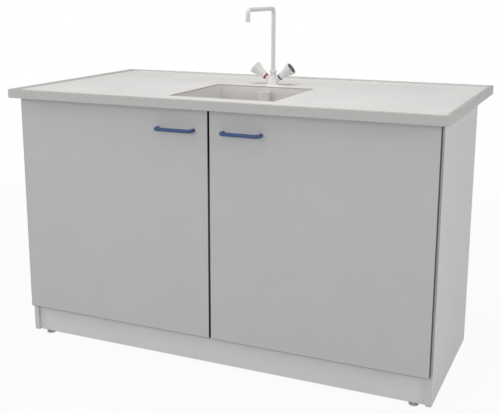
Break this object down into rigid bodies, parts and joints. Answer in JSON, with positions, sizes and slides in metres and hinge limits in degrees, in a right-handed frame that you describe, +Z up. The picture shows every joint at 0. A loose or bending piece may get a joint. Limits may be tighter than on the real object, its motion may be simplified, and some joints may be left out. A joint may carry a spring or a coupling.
{
  "type": "laboratory sink unit",
  "caption": "Laboratory sink cabinet with hinged doors, rimmed worktop, square bowl, overflow standpipe and swivel-spout mixer tap.",
  "frame": {"origin": "on the floor, under the middle of the worktop", "axes": "+Z up, doors face -Y, +X to the right seen from the front"},
  "size_m": [1.5, 0.8, 1.174],
  "materials": {
    "board": "light grey melamine-faced board",
    "door_board": "grey melamine-faced board",
    "core_board": "moisture-resistant board",
    "worktop_plastic": "satin chemical-resistant sheet",
    "rim_plastic": "satin edge profile",
    "bowl_plastic": "satin welded plastic",
    "dark_band": "black edge band",
    "blue_bar": "blue powder coat",
    "white_waste": "white moulded plastic",
    "seal_rubber": "black rubber",
    "tap_coating": "light grey powder coat",
    "tap_brass": "turned",
    "index_red": "glossy",
    "index_blue": "glossy",
    "cap_grey": "glossy",
    "zinc_steel": "zinc plated",
    "foot_plastic": "grey nylon"
  },
  "bodies": {
    "cabinet": {"back_rail": "board", "bottom_panel": "board", "cabinet_screws": "zinc_steel", "collar_nut": "tap_coating", "edge_strip_back": "rim_plastic", "edge_strip_front": "rim_plastic", "edge_strips_ends": "rim_plastic", "foot_inserts": "zinc_steel", "front_rail": "board", "hinge_arms": "zinc_steel", "hinge_plates": "zinc_steel", "plinth_front": "board", "plinth_rear": "board", "side_panel_left": "board", "side_panel_right": "board", "sink_bowl": "bowl_plastic", "tap_backnut": "tap_brass", "tap_body": "tap_coating", "tap_shank": "tap_brass", "tap_washers": "seal_rubber", "trap_body": "white_waste", "trap_cup": "white_waste", "trap_nuts": "white_waste", "trap_washers": "seal_rubber", "valve_heads": "tap_brass", "waste_pipe": "white_waste", "worktop_brackets": "zinc_steel", "worktop_core": "core_board", "worktop_sheet": "worktop_plastic"},
    "door_left_leaf": {"door_left": "door_board", "door_edge_bands_left": "dark_band", "bow_handle_left": "blue_bar", "door_screws_left": "zinc_steel", "hinge_cups_left": "zinc_steel"},
    "door_right_leaf": {"door_right": "door_board", "door_edge_bands_right": "dark_band", "bow_handle_right": "blue_bar", "door_screws_right": "zinc_steel", "hinge_cups_right": "zinc_steel"},
    "swivel_spout": {"spout": "tap_coating"},
    "hot_control": {"spindle_hot": "tap_brass", "index_ring_hot": "index_red", "tap_handle_hot": "tap_coating", "tap_handle_screw_hot": "zinc_steel", "tap_handle_cap_hot": "cap_grey"},
    "cold_control": {"spindle_cold": "tap_brass", "index_ring_cold": "index_blue", "tap_handle_cold": "tap_coating", "tap_handle_screw_cold": "zinc_steel", "tap_handle_cap_cold": "cap_grey"},
    "overflow_standpipe": {"standpipe": "bowl_plastic", "standpipe_seal": "seal_rubber"},
    "foot_fl": {"foot_front_left": "foot_plastic"},
    "foot_fr": {"foot_front_right": "foot_plastic"},
    "foot_rl": {"foot_rear_left": "foot_plastic"},
    "foot_rr": {"foot_rear_right": "foot_plastic"},
    "outer_link_pair_left": {"hinge_outer_links_left": "zinc_steel"},
    "inner_link_pair_left": {"hinge_inner_links_left": "zinc_steel"},
    "outer_link_pair_right": {"hinge_outer_links_right": "zinc_steel"},
    "inner_link_pair_right": {"hinge_inner_links_right": "zinc_steel"}
  },
  "joints": [
    {"name": "door_left_hinge", "type": "hinge", "parent": "cabinet", "child": "door_left_leaf", "pos_m": [-0.7179, -0.3593, 0.487], "axis": [0, 0, -1], "range_deg": [0, 95]},
    {"name": "outer_link_turn_left", "type": "hinge", "parent": "cabinet", "child": "outer_link_pair_left", "pos_m": [-0.6867, -0.3571, 0.487], "axis": [0, 0, -1], "range_deg": [-11.88, 0]},
    {"name": "inner_link_turn_left", "type": "hinge", "parent": "cabinet", "child": "inner_link_pair_left", "pos_m": [-0.682, -0.3428, 0.487], "axis": [0, 0, -1], "range_deg": [-20.34, 0]},
    {"name": "door_right_hinge", "type": "hinge", "parent": "cabinet", "child": "door_right_leaf", "pos_m": [0.7179, -0.3593, 0.487], "axis": [0, 0, 1], "range_deg": [0, 95]},
    {"name": "outer_link_turn_right", "type": "hinge", "parent": "cabinet", "child": "outer_link_pair_right", "pos_m": [0.6867, -0.3571, 0.487], "axis": [0, 0, 1], "range_deg": [-11.88, 0]},
    {"name": "inner_link_turn_right", "type": "hinge", "parent": "cabinet", "child": "inner_link_pair_right", "pos_m": [0.682, -0.3428, 0.487], "axis": [0, 0, 1], "range_deg": [-20.34, 0]},
    {"name": "spout_swivel", "type": "hinge", "parent": "cabinet", "child": "swivel_spout", "pos_m": [0, 0.165, 0.94], "axis": [0, 0, 1], "continuous": true},
    {"name": "hot_handle_turn", "type": "hinge", "parent": "cabinet", "child": "hot_control", "pos_m": [0, 0.165, 0.9], "axis": [-0.7955, 0, 0.606], "range_deg": [0, 90]},
    {"name": "cold_handle_turn", "type": "hinge", "parent": "cabinet", "child": "cold_control", "pos_m": [0, 0.165, 0.9], "axis": [-0.7955, 0, -0.606], "range_deg": [0, 90]},
    {"name": "standpipe_lift", "type": "slide", "parent": "cabinet", "child": "overflow_standpipe", "axis": [0, 0, 1], "range_m": [0, 0.04]},
    {"name": "foot_fl_level", "type": "slide", "parent": "cabinet", "child": "foot_fl", "axis": [0, 0, -1], "range_m": [0, 0.015]},
    {"name": "foot_fr_level", "type": "slide", "parent": "cabinet", "child": "foot_fr", "axis": [0, 0, -1], "range_m": [0, 0.015]},
    {"name": "foot_rl_level", "type": "slide", "parent": "cabinet", "child": "foot_rl", "axis": [0, 0, -1], "range_m": [0, 0.015]},
    {"name": "foot_rr_level", "type": "slide", "parent": "cabinet", "child": "foot_rr", "axis": [0, 0, -1], "range_m": [0, 0.015]}
  ],
  "couplings": [
    {"joint": "outer_link_turn_left", "follows": "door_left_hinge", "ratio": -0.125},
    {"joint": "inner_link_turn_left", "follows": "door_left_hinge", "ratio": -0.214},
    {"joint": "outer_link_turn_right", "follows": "door_right_hinge", "ratio": -0.125},
    {"joint": "inner_link_turn_right", "follows": "door_right_hinge", "ratio": -0.214}
  ]
}
